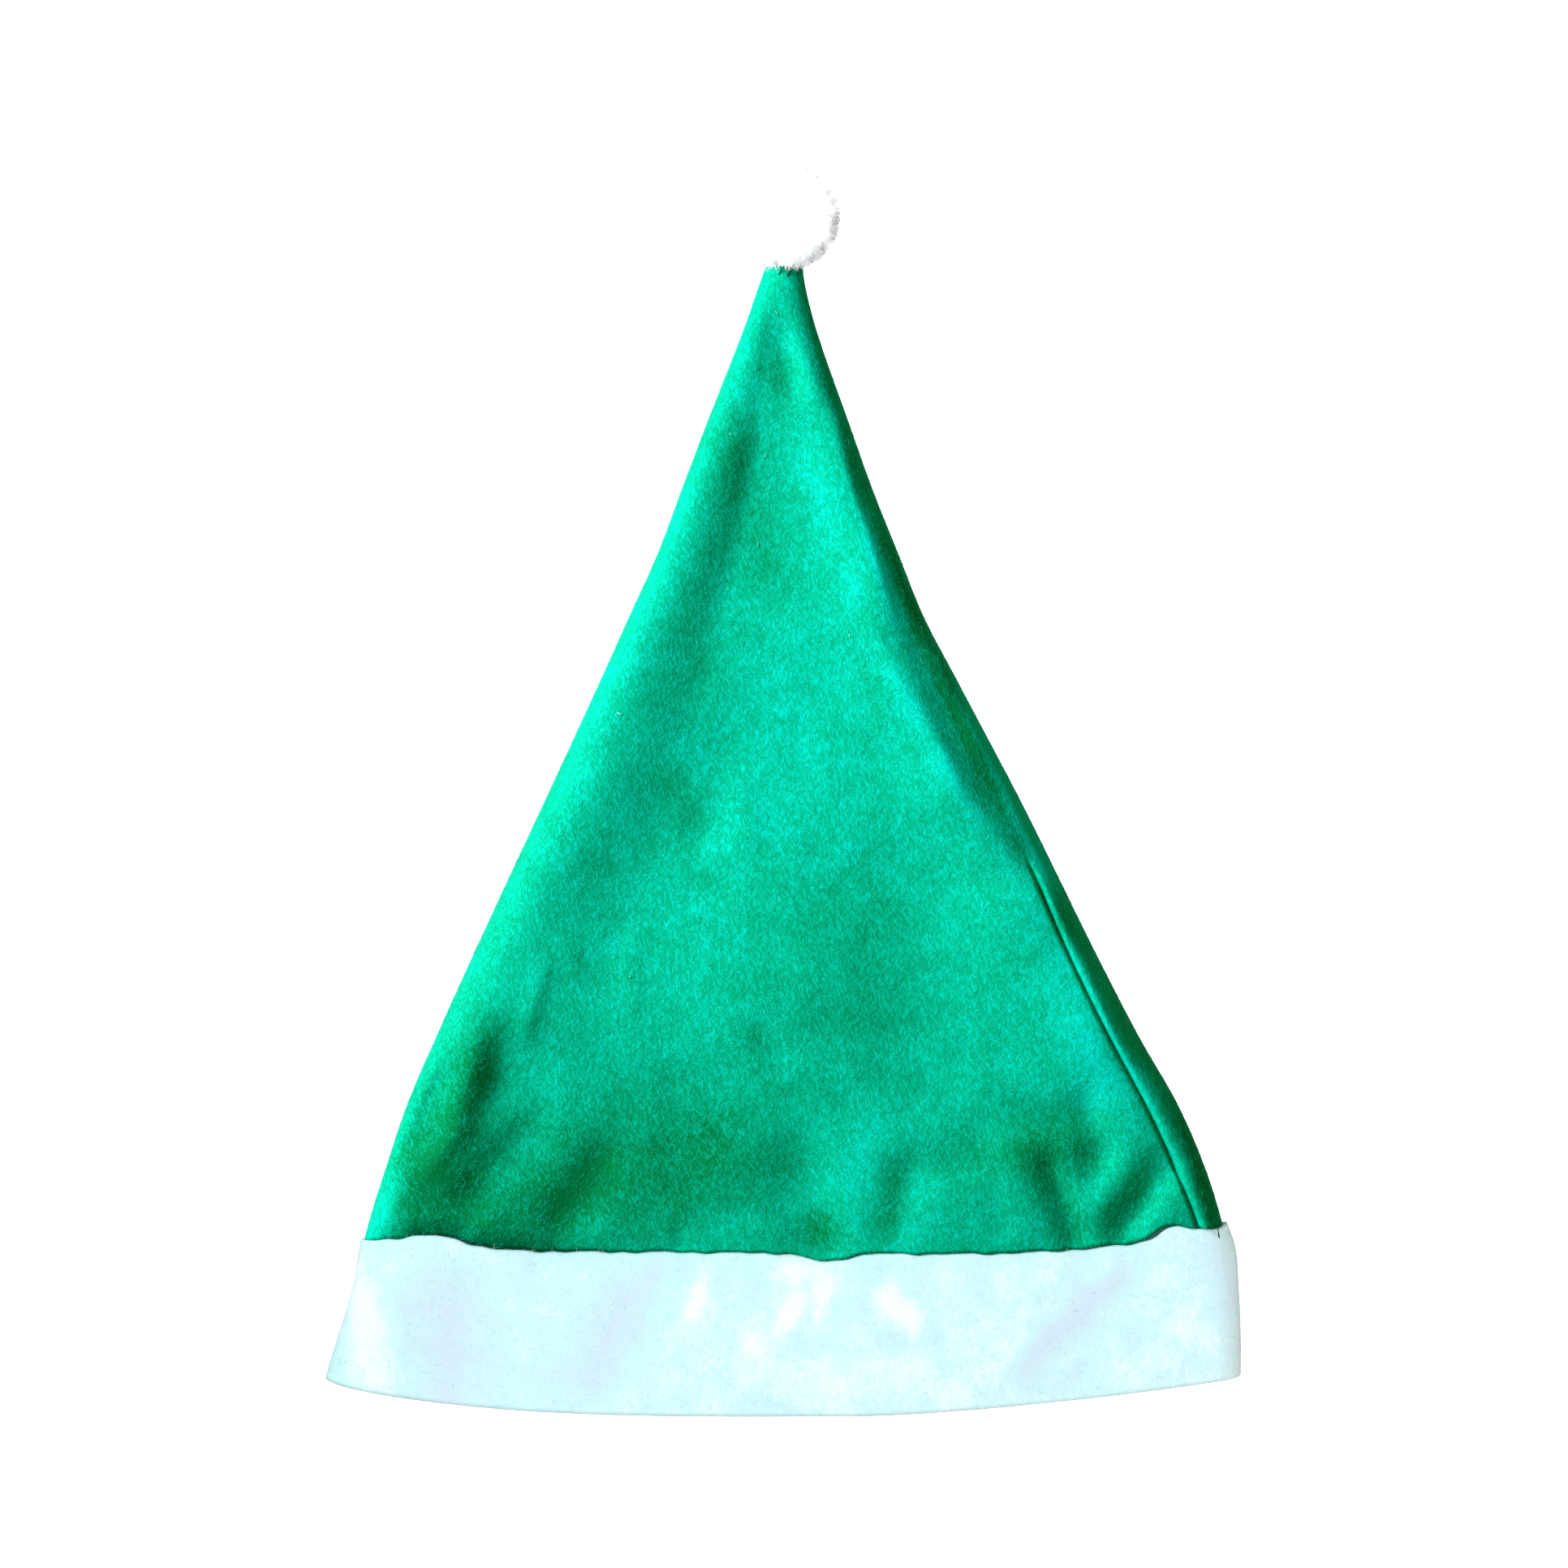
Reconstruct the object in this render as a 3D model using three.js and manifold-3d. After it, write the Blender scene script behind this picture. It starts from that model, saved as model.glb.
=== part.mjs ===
// Santa hat lying on its back: a felt cone, a felt band sewn round its mouth and a pompom on its tip.
// Millimetres, +Z up, +Y from the mouth to the tip, origin on the floor under the middle of the hat.
import * as THREE from "three";
import { mergeVertices } from "three/addons/utils/BufferGeometryUtils.js";
import Module from "manifold-3d";

const wasm = await Module();
wasm.setup();

// Driving dimensions. Lengths along the hat are measured from the lowest point of the hem.
const HAT_LENGTH = 394;
const HEM_HALF = 145;
const SEAM_HALF = 136;
const TIP_Y = 362;
const POMPOM_RADIUS = 17;
const CROWN_WALL = 1.5;
const BAND_WALL = 2;
const SEAM_GAP = 0.3;

// The outlines seen from above and the heights, at sections along the hat. loft is the height of the
// upper layer, sag the depth of its hollow, and hollow the place of that between the side folds, from
// -1 to 1. lift is how far the lower layer is off the floor, the folds are the heights of the side
// folds above the lower layer, the blunts say how far each side stays full before it turns down, and
// seamIn is how far the side seam lies in from the right fold.
const SECTION_COLUMNS = [
  ...["y", "left", "right", "loft", "sag", "hollow", "lift"],
  ...["leftFold", "rightFold", "leftBlunt", "rightBlunt", "seamIn"],
];
const CROWN_SECTIONS = [
  [44, -135, 143, 20.5, 1.5, -0.6, 0, 10, 10, 18, 34, 8],
  [60, -131, 139, 22.5, 2.2, -0.6, 0, 10, 11, 18, 34, 8],
  [76, -126, 134, 24, 3, -0.6, 0, 10, 12, 20, 32, 8],
  [97, -119, 125, 24.6, 3.5, -0.6, 0, 9, 13, 22, 30, 8],
  [118, -110, 113, 25.6, 3, -0.55, 0, 8, 13, 18, 28, 8],
  [148, -96.5, 97.5, 26, 3, -0.5, 0, 7, 13, 12, 24, 7.5],
  [190, -77, 77, 25.5, 4, -0.42, 0, 6, 10, 10, 17, 7],
  [231, -58, 55.5, 24, 4.6, -0.38, 0, 6, 8.5, 11, 16, 6.5],
  [251, -49, 45, 23, 4.8, -0.33, 0, 6, 8, 12, 17, 4.5],
  [272, -39.5, 36.5, 21.5, 4.6, -0.3, 0, 6, 7, 12, 15, 4],
  [292, -32, 28.5, 20, 4, -0.25, 0.4, 6, 7, 11, 12, 3.6],
  [313, -24, 21, 18.5, 2.6, -0.2, 1.5, 6, 6.5, 9, 8, 3],
  [344, -11.8, 10.2, 16.6, 0.4, -0.2, 4, 6, 6, 4, 3, 2],
  [356, -7.6, 7.2, 16, 0, -0.2, 5, 5.5, 5.5, 2, 2, 1.6],
  [362, -5.4, 6.2, 15, 0, -0.2, 5.6, 4.7, 4.7, 2, 2, 1.4],
];

// The same for the band, from its hem to the seam where it meets the cone.
const BAND_SECTIONS = [
  [-4, -146.5, 145, 25, 0, 0, 0, 8, 9, 12, 14, 8],
  [10, -145, 145, 24.5, 0, 0, 0, 8, 9, 12, 14, 8],
  [25, -140.5, 145, 23.5, 0, 0, 0, 8.5, 9.5, 12, 14, 8],
  [40, -136, 144.3, 22, 0, 0, 0, 9.5, 10, 12, 14, 8],
  [52, -134, 143.3, 20, 0, 0, 0, 10, 10.5, 12, 14, 8],
  [62, -132, 140.5, 19, 0, 0, 0, 10, 11, 12, 14, 8],
];

// How far the hollow reaches to either side, as a share of half the hat's width there.
const HOLLOW_REACH = { left: 0.28, right: 0.9 };

// Ridges (height above 0) and dents of the upper layer: the middle, the heading of the line in
// degrees from +X, its length, the half widths of its left and right slopes, and its height.
const FOLD_COLUMNS = ["x", "y", "heading", "length", "left", "right", "height"];
const CROWN_FOLDS = [
  // along the right fold
  [24, 282, 108, 60, 11, 4, 3.6],
  [40.5, 230, 112, 84, 14, 6, 3.2],
  [66.5, 180, 124, 60, 15, 7, 3.2],
  [91, 138, 115, 56, 18, 8, 3],
  [105, 108, 113, 60, 11, 7, 2.4],
  // in the hollow
  [-36, 178, 48, 110, 20, 26, -3],
  [42, 140, 95, 90, 24, 20, -3.2],
  // the lower left corner
  [-70, 40, 12, 110, 44, 30, -3],
  [-20, 60, 62, 70, 36, 30, -2],
  [-18, 46, 0, 130, 30, 10, -3],
  [-100, 105, 74, 34, 7, 6, 2.2],
  [-89, 108, 82, 28, 6, 14, -1.8],
  [-89, 79, 48, 44, 7, 12, -2.2],
  [-63, 69, 56, 42, 10, 9, -2.4],
  // puckers above the band
  [10, 64, 105, 48, 14, 8, -3.2],
  [37, 67, 73, 36, 4, 4, -1.8],
  [50, 78, 15, 34, 9, 7, -1.4],
  [72, 92, 10, 34, 9, 8, -1.6],
  // the lower right corner
  [93, 64, 118, 36, 6, 6, -3.4],
  [98, 88, 112, 28, 11, 5, -3],
  [113, 66, 57, 34, 6, 7, -3.4],
  // the tip
  [0, 332, 100, 30, 5, 4, -1.8],
];
const BAND_FOLDS = [
  [97, 25, 45, 52, 7, 9, -1.1],
  [-98, 25, 95, 36, 16, 22, -1.4],
  [-50, 27, 62, 48, 9, 6, -0.9],
  [31, 35, 115, 22, 6, 6, 1],
  [-123, 33, 100, 30, 5, 5, 1.2],
];

// Folds fade out within this power of the way to a side fold.
const EDGE_FADE = 24;

// The line of the hem and the line of the seam above it, each with its rise towards the sides,
// and the places where the seam runs up or down.
const HEM_LINE = { leftRise: 10.5, leftPower: 3, rightRise: 12, rightStart: 22, rightPower: 1.5 };
const SEAM_LINE = { middle: 50.5, leftRise: 3.5, rightRise: 9.5, power: 4 };
const SEAM_WAVES = [
  { x: -114, width: 13, height: 5 },
  { x: 9, width: 8, height: -2.8 },
  { x: 122, width: 13, height: 2 },
];

// How the cloth rolls in at a sewn edge: share of the roll's length, and depth in from the surface.
const LIP_LENGTH = 5;
const LIP_ROWS = [
  { along: 0, depth: 1.4 },
  { along: 0.25, depth: 0.7 },
  { along: 1, depth: 0 },
];

// The side seam is a groove with a shoulder on either side.
const SEAM_GROOVE = { depth: 2, shoulder: 1.4 };

// Mesh steps round a section and along the hat.
const TOP_STEPS = 34;
const ROLL_STEPS = 6;
const TURN_STEPS = 3;
const FLOOR_STEPS = 8;
const CROWN_STEPS = 27;
const BAND_STEPS = 6;

// The width of each side fold's turn under the hat.
const TURN = { left: 8, right: 9 };

const { lerp, clamp, smoothstep, degToRad } = THREE.MathUtils;

// One function per table: all the columns at y, on a smooth curve through the rows.
function curveThrough(rows) {
  const names = SECTION_COLUMNS.slice(1);
  const values = rows.flatMap((row) => row.slice(1));
  const curve = new THREE.CubicInterpolant(rows.map(([y]) => y), values, names.length);
  return (y) => {
    const found = curve.evaluate(y);
    const section = Object.fromEntries(names.map((name, i) => [name, found[i]]));
    return { ...section, lift: Math.max(0, section.lift) };
  };
}

const bell = (distance, width) => Math.exp(-((distance / width) ** 2));

function foldHeight(folds, x, y) {
  return folds.reduce((sum, row) => {
    const fold = Object.fromEntries(FOLD_COLUMNS.map((name, i) => [name, row[i]]));
    const turn = degToRad(fold.heading);
    const [dx, dy] = [x - fold.x, y - fold.y];
    const along = dx * Math.cos(turn) + dy * Math.sin(turn);
    const across = dy * Math.cos(turn) - dx * Math.sin(turn);
    const ends = Math.exp(-(((2 * along) / fold.length) ** 4));
    return sum + fold.height * bell(across, across > 0 ? fold.left : fold.right) * ends;
  }, 0);
}

// u runs from -1 at the left fold to 1 at the right fold.
function hemLine(u) {
  const x = u * HEM_HALF;
  if (u < 0) return HEM_LINE.leftRise * (-u) ** HEM_LINE.leftPower;
  const share = Math.max(0, x - HEM_LINE.rightStart) / (HEM_HALF - HEM_LINE.rightStart);
  return HEM_LINE.rightRise * share ** HEM_LINE.rightPower;
}

function seamLine(u) {
  const rise = u < 0 ? SEAM_LINE.leftRise : SEAM_LINE.rightRise;
  const waves = SEAM_WAVES.reduce(
    (sum, wave) => sum + wave.height * bell(u * SEAM_HALF - wave.x, wave.width),
    0,
  );
  return SEAM_LINE.middle + rise * Math.abs(u) ** SEAM_LINE.power + waves;
}

// Heights of the upper and lower layer at u on a section.
function layerHeights(section, u) {
  const half = (section.right - section.left) / 2;
  const side = u < 0 ? "left" : "right";
  const fold = section.lift + section[`${side}Fold`];
  const full = Math.sqrt(1 - Math.abs(u) ** section[`${side}Blunt`]);
  const reach = u < section.hollow ? HOLLOW_REACH.left : HOLLOW_REACH.right;
  const upper = fold + (section.loft - fold) * full - section.sag * bell(u - section.hollow, reach);
  const turn = Math.min(TURN[side], half);
  const rolled = Math.max(0, Math.abs(u) * half - (half - turn)) / turn;
  const lower = section.lift + section[`${side}Fold`] * (1 - Math.sqrt(1 - rolled ** 2));
  return { upper, lower };
}

// Where the mesh lines cross a section: over the top from the left fold, past the side seam to the
// right fold, and back under the hat. Each has its u and whether it is on the upper layer.
function sectionLines(section, shoulder) {
  const { left, right } = section;
  const half = (right - left) / 2;
  const middle = (right + left) / 2;
  const seam = right - section.seamIn;
  const crowd = (t) => 0.4 * t + 0.3 * (1 - Math.cos(Math.PI * t));
  const lines = [];
  const add = (x, upper, onSeam = false) => lines.push({ u: (x - middle) / half, upper, onSeam });
  for (let i = 0; i < TOP_STEPS; i++) add(lerp(left, seam - shoulder, crowd(i / TOP_STEPS)), true);
  add(seam - shoulder, true);
  add(seam, true, true);
  for (let i = 0; i < ROLL_STEPS; i++) {
    add(lerp(seam + shoulder, right, Math.sin((Math.PI / 2) * (i / ROLL_STEPS))), true);
  }
  const rightFoot = right - Math.min(TURN.right, half);
  const leftFoot = left + Math.min(TURN.left, half);
  for (let i = 0; i < TURN_STEPS; i++) {
    add(lerp(rightFoot, right, Math.cos((Math.PI / 2) * (i / TURN_STEPS))), false);
  }
  for (let i = 0; i < FLOOR_STEPS; i++) add(lerp(rightFoot, leftFoot, i / FLOOR_STEPS), false);
  for (let i = 0; i < TURN_STEPS; i++) {
    add(lerp(leftFoot, left, Math.sin((Math.PI / 2) * (i / TURN_STEPS))), false);
  }
  return lines;
}

// A point of the upper layer with its folds, and the same place on the lower layer.
function layersAt({ sections, folds }, u, y) {
  const section = sections(y);
  const x = lerp(section.left, section.right, (u + 1) / 2);
  const heights = layerHeights(section, clamp(u, -1, 1));
  const upper = heights.upper + (1 - Math.abs(u) ** EDGE_FADE) * foldHeight(folds, x, y);
  return { upper: new THREE.Vector3(x, y, upper), lower: new THREE.Vector3(x, y, heights.lower) };
}

// One closed loop round the hat. lineY gives a point's place along the hat from its u, and raiseAt
// how far the upper layer is raised there.
function loopAt(piece, lineY, raiseAt) {
  const whole = piece.sections(lineY(0));
  const shoulder = Math.min(SEAM_GROOVE.shoulder, whole.seamIn * 0.4);
  return sectionLines(whole, shoulder).map(({ u, upper, onSeam }) => {
    const layers = layersAt(piece, u, lineY(u));
    if (!upper) return layers.lower;
    layers.upper.z += raiseAt(u, onSeam, whole);
    return layers.upper;
  });
}

// The loop moved in towards the hollow by an even distance.
function inset(loop, distance) {
  return loop.map((point, i) => {
    const before = loop.at(i - 1);
    const after = loop[(i + 1) % loop.length];
    const along = new THREE.Vector2(after.x - before.x, after.z - before.z).normalize();
    return new THREE.Vector3(point.x + along.y * distance, point.y, point.z - along.x * distance);
  });
}

// A closed skin through loops of equal length. A ring's last loop meets its first,
// and any other skin has a fan over each end.
function skinThrough(loops, ring) {
  const count = loops[0].length;
  const points = loops.flat();
  const triangles = [];
  const spans = ring ? loops.length : loops.length - 1;
  for (let j = 0; j < spans; j++) {
    const [low, high] = [j * count, ((j + 1) % loops.length) * count];
    for (let i = 0; i < count; i++) {
      const next = (i + 1) % count;
      triangles.push(low + i, low + next, high + i, low + next, high + next, high + i);
    }
  }
  if (!ring) {
    for (const [first, turned] of [[0, true], [(loops.length - 1) * count, false]]) {
      const middle = new THREE.Vector3();
      loops[first / count].forEach((point) => middle.addScaledVector(point, 1 / count));
      points.push(middle);
      for (let i = 0; i < count; i++) {
        const edge = [first + i, first + ((i + 1) % count)];
        triangles.push(points.length - 1, ...(turned ? edge.reverse() : edge));
      }
    }
  }
  const geometry = new THREE.BufferGeometry().setFromPoints(points).setIndex(triangles);
  geometry.computeVertexNormals();
  return geometry;
}

const CROWN = { sections: curveThrough(CROWN_SECTIONS), folds: CROWN_FOLDS };
const BAND = { sections: curveThrough(BAND_SECTIONS), folds: BAND_FOLDS };

// Rows of loops from the sewn edge to the far end: the rolled lip first, then even steps.
function rowsFromLip(length, steps) {
  const lip = LIP_ROWS.map(({ along, depth }) => ({ share: (along * LIP_LENGTH) / length, depth }));
  const start = lip.at(-1).share;
  for (let i = 1; i <= steps; i++) lip.push({ share: lerp(start, 1, i / steps), depth: 0 });
  return lip;
}

// The side seam dips, less and less towards the tip.
const grooveAt = (u, onSeam, whole) => (onSeam ? -SEAM_GROOVE.depth * smoothstep(whole.seamIn, 1, 4) : 0);

const crownLoop = (share, endY) => loopAt(CROWN, (u) => lerp(seamLine(u), endY, share), grooveAt);

// How far the band's sewn edge goes up or down to lie level with the crown's.
function bandMeetsCrown(u) {
  const [crown, band] = [CROWN, BAND].map((piece) => layersAt(piece, u, seamLine(u)).upper.z);
  return (1 - Math.abs(u) ** EDGE_FADE) * (crown - band);
}

function crownGeometry() {
  const rows = rowsFromLip(TIP_Y - SEAM_LINE.middle, CROWN_STEPS);
  const outer = rows.map(({ share, depth }) => inset(crownLoop(share, TIP_Y), depth));
  const inner = rows.map(({ share, depth }) =>
    inset(crownLoop(share, TIP_Y - CROWN_WALL), depth + CROWN_WALL),
  );
  return skinThrough([...inner.reverse(), ...outer], false);
}

function bandGeometry() {
  const loop = (share) =>
    loopAt(
      BAND,
      (u) => lerp(seamLine(u) - SEAM_GAP, hemLine(u), share),
      (u) => (1 - share) ** 2 * bandMeetsCrown(u),
    );
  const rows = rowsFromLip(SEAM_LINE.middle, BAND_STEPS);
  const outer = rows.map(({ share, depth }) => inset(loop(share), depth));
  const inner = rows.map(({ share, depth }) => inset(loop(share), depth + BAND_WALL));
  return skinThrough([...outer.reverse(), ...inner], true);
}

// Solids for joining and cutting.
function solidOf(geometry) {
  const bare = geometry.clone();
  bare.deleteAttribute("normal");
  bare.deleteAttribute("uv");
  const merged = mergeVertices(bare, 1e-4);
  return new wasm.Manifold(
    new wasm.Mesh({
      numProp: 3,
      vertProperties: merged.getAttribute("position").array,
      triVerts: new Uint32Array(merged.index.array),
    }),
  );
}

function geometryOf(solid) {
  const mesh = solid.getMesh();
  const geometry = new THREE.BufferGeometry();
  geometry.setAttribute("position", new THREE.BufferAttribute(mesh.vertProperties, mesh.numProp));
  geometry.setIndex(new THREE.BufferAttribute(mesh.triVerts, 1));
  geometry.computeVertexNormals();
  return geometry;
}

// The pompom: locks of pile fused to a round head, trimmed flat where it lies on the floor
// and hollowed where the cone's tip is sewn in. A lock is a round-ended tuft on its own axis.
const POMPOM = { x: 1.9, y: 377.4, z: 15.8, headShare: 0.84, locks: 44, lean: 0.16 };
const LOCK_SIDES = 5;
const LOCK_SHORTEST = 0.96;
const LOCK_PROFILE = [
  { radius: 0, out: 0.5 },
  { radius: 4, out: 0.5 },
  { radius: 4.4, out: 0.84 },
  { radius: 3, out: 0.96 },
  { radius: 0, out: 1 },
];
const TIP_CLEARANCE = 0.35;
const GOLDEN_ANGLE = Math.PI * (3 - Math.sqrt(5));

function lockGeometry(index) {
  const height = 1 - (2 * (index + 0.5)) / POMPOM.locks;
  const turn = index * GOLDEN_ANGLE;
  const reach = POMPOM_RADIUS * lerp(LOCK_SHORTEST, 1, (Math.sin(index * GOLDEN_ANGLE ** 2) + 1) / 2);
  const profile = LOCK_PROFILE.map(({ radius, out }) => new THREE.Vector2(radius, out * reach));
  const out = new THREE.Vector3().setFromCylindricalCoords(Math.sqrt(1 - height ** 2), turn, height);
  const leaning = out.clone().add(new THREE.Vector3(-out.z, 0, out.x).multiplyScalar(POMPOM.lean));
  const upright = new THREE.Vector3(0, 1, 0);
  return new THREE.LatheGeometry(profile, LOCK_SIDES).applyQuaternion(
    new THREE.Quaternion().setFromUnitVectors(upright, leaning.normalize()),
  );
}

function pompomGeometry() {
  const placed = (geometry) => solidOf(geometry.translate(POMPOM.x, POMPOM.y, POMPOM.z));
  let ball = placed(new THREE.IcosahedronGeometry(POMPOM_RADIUS * POMPOM.headShare, 2));
  for (let i = 0; i < POMPOM.locks; i++) ball = ball.add(placed(lockGeometry(i)));
  const above = new THREE.BoxGeometry(HEM_HALF, HEM_HALF, HEM_HALF);
  above.translate(POMPOM.x, POMPOM.y, HEM_HALF / 2);
  const reach = 0.9;
  const tip = [reach, 1].map((share) => inset(crownLoop(share, TIP_Y + TIP_CLEARANCE), -TIP_CLEARANCE));
  return geometryOf(ball.intersect(solidOf(above)).subtract(solidOf(skinThrough(tip, false))));
}

const greenFelt = new THREE.MeshStandardMaterial({ color: 0x00a878, roughness: 0.95, metalness: 0 });
const whiteFelt = new THREE.MeshStandardMaterial({ color: 0xe8f6f8, roughness: 0.95, metalness: 0 });
const whitePile = new THREE.MeshStandardMaterial({ color: 0xfafafa, roughness: 1, metalness: 0 });

const hat = new THREE.Group();
for (const [name, geometry, material] of [
  ["crown", crownGeometry(), greenFelt],
  ["band", bandGeometry(), whiteFelt],
  ["pompom", pompomGeometry(), whitePile],
]) {
  const piece = new THREE.Mesh(geometry, material);
  piece.name = name;
  hat.add(piece);
}
hat.position.y = -HAT_LENGTH / 2;

export default hat;
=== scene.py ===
"""Santa hat lying on its back: felt crown, felt band and pompom, with their loose fibres and threads."""
import math

import bmesh
import bpy
import numpy as np
from bpy.props import FloatProperty, FloatVectorProperty, IntProperty, PointerProperty
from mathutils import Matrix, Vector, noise


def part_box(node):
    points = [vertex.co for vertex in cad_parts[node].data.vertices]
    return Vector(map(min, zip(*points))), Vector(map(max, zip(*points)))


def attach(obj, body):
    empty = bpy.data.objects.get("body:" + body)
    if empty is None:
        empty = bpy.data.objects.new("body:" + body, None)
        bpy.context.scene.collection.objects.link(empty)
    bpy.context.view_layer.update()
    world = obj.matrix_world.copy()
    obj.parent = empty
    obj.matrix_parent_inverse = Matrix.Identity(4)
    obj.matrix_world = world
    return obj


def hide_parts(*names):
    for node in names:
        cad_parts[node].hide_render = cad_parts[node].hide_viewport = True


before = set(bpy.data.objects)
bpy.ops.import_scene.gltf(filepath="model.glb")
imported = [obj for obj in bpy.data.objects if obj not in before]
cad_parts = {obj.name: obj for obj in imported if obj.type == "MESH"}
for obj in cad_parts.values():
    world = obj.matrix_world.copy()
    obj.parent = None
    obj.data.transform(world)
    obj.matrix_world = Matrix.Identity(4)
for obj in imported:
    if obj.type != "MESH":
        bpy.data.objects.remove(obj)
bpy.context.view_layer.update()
BAND_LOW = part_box("band")[0]
POMPOM_LOW, POMPOM_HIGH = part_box("pompom")

bl_info = {
    "name": "Santa Hat",
    "version": (1, 0, 0),
    "blender": (4, 5, 0),
    "location": "3D View > Sidebar > Santa Hat",
    "description": "Builds a felt santa hat that lies on its back",
    "category": "Add Mesh",
}

# The tables below are in millimetres, along the hat from the lowest point of its hem. The half widths
# are those of the hem and of the seam above it, and the tip is the upper end of the crown.
MM = 0.001
HEM_Y = BAND_LOW.y / MM
HEM_HALF = 145
SEAM_HALF = 136
TIP_Y = 362

# The outlines seen from above and the heights, at sections along the hat. loft is the height of the
# upper layer, sag the depth of its hollow, and hollow the place of that between the side folds, from
# -1 to 1. lift is how far the lower layer is off the floor, the folds are the heights of the side
# folds above the lower layer, the blunts say how far each side stays full before it turns down, and
# seam_in is how far the side seam lies in from the right fold.
SECTION_COLUMNS = (
    "y", "left", "right", "loft", "sag", "hollow", "lift",
    "left_fold", "right_fold", "left_blunt", "right_blunt", "seam_in",
)
CROWN_SECTIONS = (
    (44, -135, 143, 20.5, 1.5, -0.6, 0, 10, 10, 24, 36, 8),
    (60, -131, 139, 22.5, 2.2, -0.6, 0, 10, 11, 26, 36, 8.8),
    (76, -126, 134, 24, 3, -0.6, 0, 10, 12, 28, 36, 10.2),
    (97, -119, 125, 24.6, 3.5, -0.6, 0, 9, 13, 28, 34, 11),
    (118, -110, 113, 25.6, 3, -0.55, 0, 8, 13, 24, 32, 10.4),
    (148, -96.5, 97.5, 26, 3, -0.5, 0, 7, 13, 15, 32, 9.4),
    (190, -77, 77, 25.5, 4, -0.42, 0, 6, 10, 13, 28, 7),
    (231, -58, 55.5, 24, 4.6, -0.38, 0, 6, 8.5, 14, 28, 6.5),
    (251, -49, 45, 23, 4.8, -0.33, 0, 6, 8, 14, 28, 4.5),
    (272, -39.5, 36.5, 21.5, 4.6, -0.3, 0, 6, 7, 13, 24, 4),
    (292, -32, 28.5, 20, 4, -0.25, 0.4, 6, 7, 11, 18, 3.6),
    (313, -24, 21, 18.5, 1.8, -0.2, 1.5, 6, 6.5, 9, 10, 3),
    (344, -11.8, 10.2, 16.6, 0.4, -0.2, 4, 6, 6, 4, 3, 2),
    (356, -7.6, 7.2, 16, 0, -0.2, 5, 5.5, 5.5, 2, 2, 1.6),
    (362, -5.4, 6.2, 15, 0, -0.2, 5.6, 4.7, 4.7, 2, 2, 1.4),
)
BAND_SECTIONS = (
    (-4, -146.5, 145, 25, 0, 0, 0, 8, 9, 20, 44, 8),
    (10, -145, 145, 24.5, 0, 0, 0, 8, 9, 20, 44, 8),
    (25, -140.5, 145, 23.5, 0, 0, 0, 8.5, 9.5, 20, 44, 8),
    (40, -136, 144.3, 22, 0, 0, 0, 9.5, 10, 20, 44, 8),
    (52, -134, 143.3, 20, 0, 0, 0, 10, 10.5, 18, 32, 8),
    (62, -132, 139.8, 19, 0, 0, 0, 10, 11, 18, 32, 8),
)

# How far the hollow reaches to either side, as a share of half the hat's width there.
HOLLOW = {"left": 0.28, "right": 0.9}

# Ridges (height above 0) and dents of the upper layer: the middle, the heading of the line in
# degrees from +X, its length, the half widths of its left and right slopes, and its height.
FOLD_COLUMNS = ("x", "y", "heading", "length", "left", "right", "height")
CROWN_FOLDS = (
    # along the right fold
    (24, 282, 108, 60, 11, 4, 3.6),
    (40.5, 230, 112, 84, 14, 6, 3.2),
    (40, 225, 119.5, 52, 3.5, 3, 0.8),
    (66.5, 180, 124, 60, 15, 7, 3.2),
    (91, 138, 115, 56, 18, 8, 3),
    (105, 108, 113, 60, 11, 7, 2.4),
    # in the hollow
    (-36, 178, 48, 110, 20, 26, -3),
    (-24, 185, 60, 22, 8, 5, -1),
    (-11, 188, 100, 22, 5, 5, 0.6),
    (42, 140, 95, 90, 24, 20, -3.2),
    (-78, 130, 75, 26, 3.5, 3, 0.8),
    (-67, 144, 122, 16, 3, 3, 0.5),
    (-47, 138, 90, 30, 4, 3, 0.5),
    (-4, 117, 118, 18, 5, 8, -1),
    # the lower left corner
    (-70, 40, 12, 110, 44, 30, -3),
    (-20, 60, 62, 70, 36, 30, -2),
    (-18, 46, 0, 130, 30, 10, -3),
    (-100, 105, 74, 34, 7, 6, 2.2),
    (-89, 108, 82, 28, 6, 14, -1.8),
    (-89, 79, 48, 44, 7, 12, -2.2),
    (-105, 85, 48, 24, 4, 3, 0.8),
    (-63, 69, 56, 42, 10, 9, -2.4),
    (-93, 60, 60, 14, 4, 5, 0.8),
    (-112, 97, 64, 36, 4, 6, -2.6),
    # puckers above the band
    (-32, 55, 90, 10, 3, 3, -1),
    (10, 64, 105, 48, 14, 8, -3.2),
    (37, 66, 78, 30, 7, 6, -1.3),
    (67, 64, 115, 16, 3.5, 5, -0.8),
    (50, 78, 15, 34, 9, 7, -1.4),
    (72, 92, 10, 34, 9, 8, -1.6),
    # the lower right corner
    (88.5, 67, 112, 34, 5.5, 4.5, -3.6),
    (98, 88, 112, 28, 11, 5, -3),
    (98, 76, 70, 20, 7, 4, -2),
    (113, 66, 57, 34, 9, 4.5, -4),
    # the tip
    (2, 331, 100, 24, 6, 4, -1.7),
    (7, 330, 112, 28, 3.5, 3.5, 1.2),
)
BAND_FOLDS = (
    (97, 25, 45, 52, 7, 9, -1.1),
    (-98, 25, 95, 36, 16, 22, -1.4),
    (-50, 27, 62, 48, 9, 6, -1.7),
    (6, 38, 70, 18, 3, 5, 0.9),
    (16, 38, 125, 16, 3, 4, 0.7),
    (31, 35, 115, 22, 6, 6, 1),
    (-123, 33, 100, 30, 5, 5, 1.2),
)

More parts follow.
